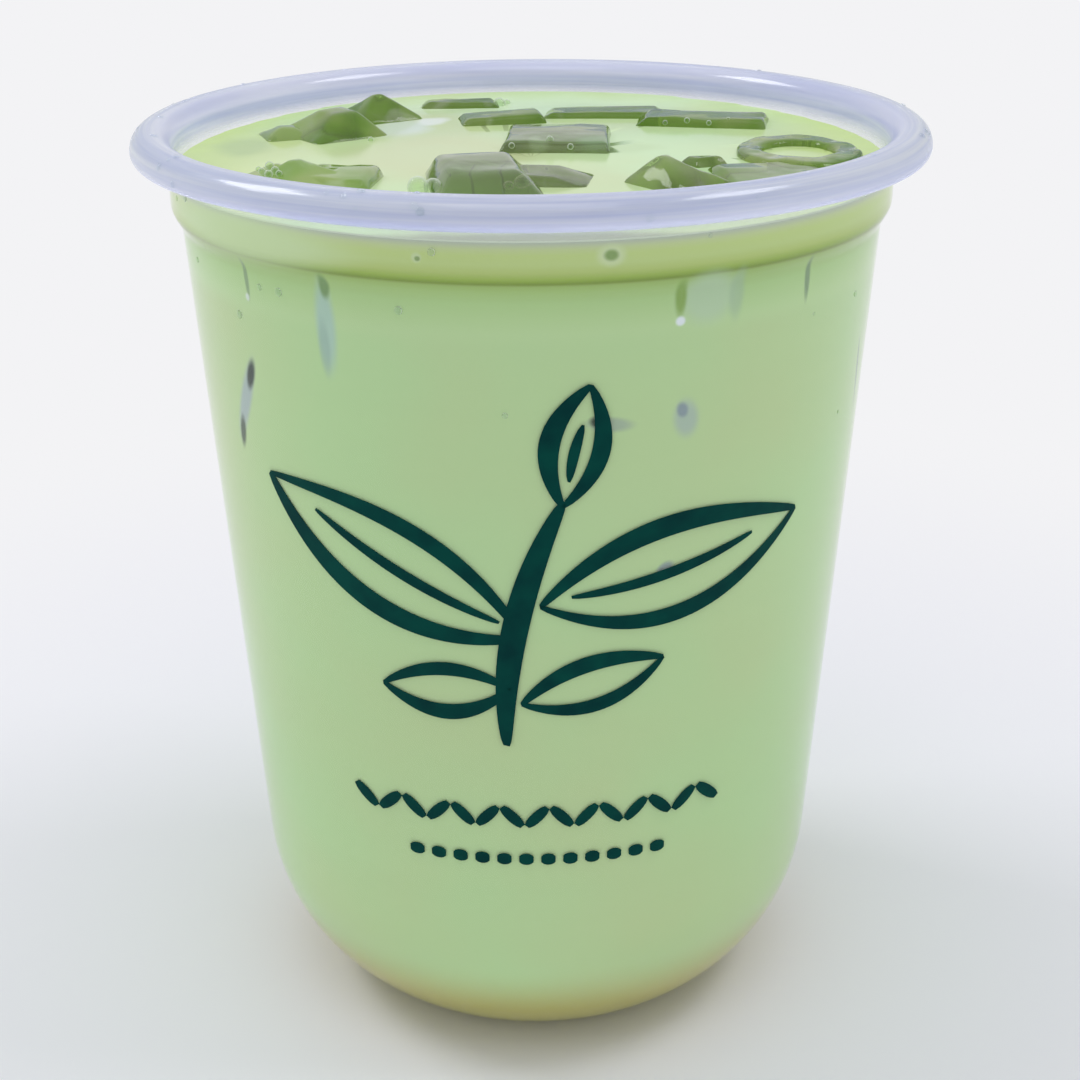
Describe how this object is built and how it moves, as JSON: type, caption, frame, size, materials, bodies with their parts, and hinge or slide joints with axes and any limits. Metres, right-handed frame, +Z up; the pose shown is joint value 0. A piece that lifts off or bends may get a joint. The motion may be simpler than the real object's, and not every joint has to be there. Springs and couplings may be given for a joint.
{
  "type": "iced matcha latte in a clear plastic cup",
  "caption": "Iced green tea latte filled almost to the brim of a clear plastic cup with a rounded bottom, a shouldered collar and a rolled rim.",
  "frame": {"origin": "on the table under the middle of the cup's foot", "axes": "+Z up along the cup's axis; the printed side faces -Y"},
  "size_m": [0.095, 0.095, 0.1142],
  "materials": {
    "clear_polypropylene": "clear, slightly milky, glossy",
    "green_milk_tea": "opaque pale green milk drink, wet and smooth"
  },
  "bodies": {
    "root": {"cup": "clear_polypropylene", "drink": "green_milk_tea"}
  },
  "joints": []
}
